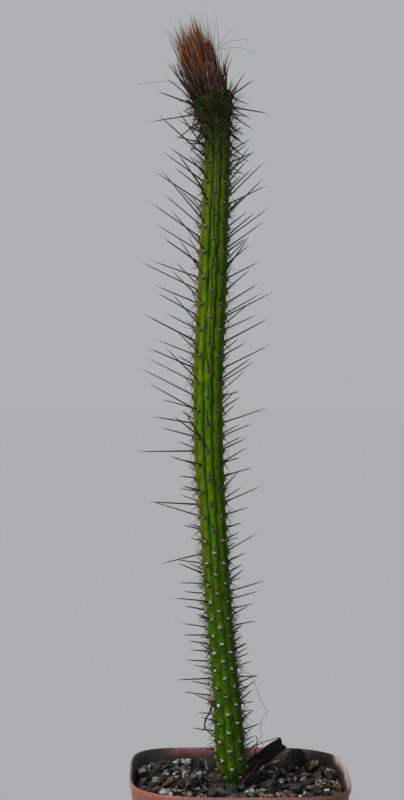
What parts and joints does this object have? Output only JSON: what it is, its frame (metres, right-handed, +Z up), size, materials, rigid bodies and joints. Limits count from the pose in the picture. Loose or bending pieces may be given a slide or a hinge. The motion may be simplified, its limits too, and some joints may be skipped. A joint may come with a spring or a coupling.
{
  "type": "potted columnar cactus",
  "caption": "Slender ribbed columnar cactus with long dark spines and a rust bristle crown, standing in mineral grit in a rounded-square terracotta-coloured plastic pot.",
  "frame": {"origin": "centre of the pot's underside", "axes": "+Z up, X and Y square to the pot's flats; the plant's tip leans towards -X and one rib faces -Y"},
  "size_m": [0.0877, 0.0874, 0.3912],
  "materials": {
    "pot_plastic": "faded terracotta-coloured polypropylene, stained inside",
    "grit_mix": "dry mixed stone chips",
    "cactus_skin": "satin green skin with dark spines and pale areoles",
    "crown_bristle": "stiff rust-brown bristles",
    "bark": "rough dark bark",
    "slag": "rough black chunk"
  },
  "bodies": {
    "root": {"pot": "pot_plastic", "grit": "grit_mix", "stem": "cactus_skin", "cephalium": "crown_bristle", "bark_slab": "bark", "dark_chunk": "slag"}
  },
  "joints": []
}
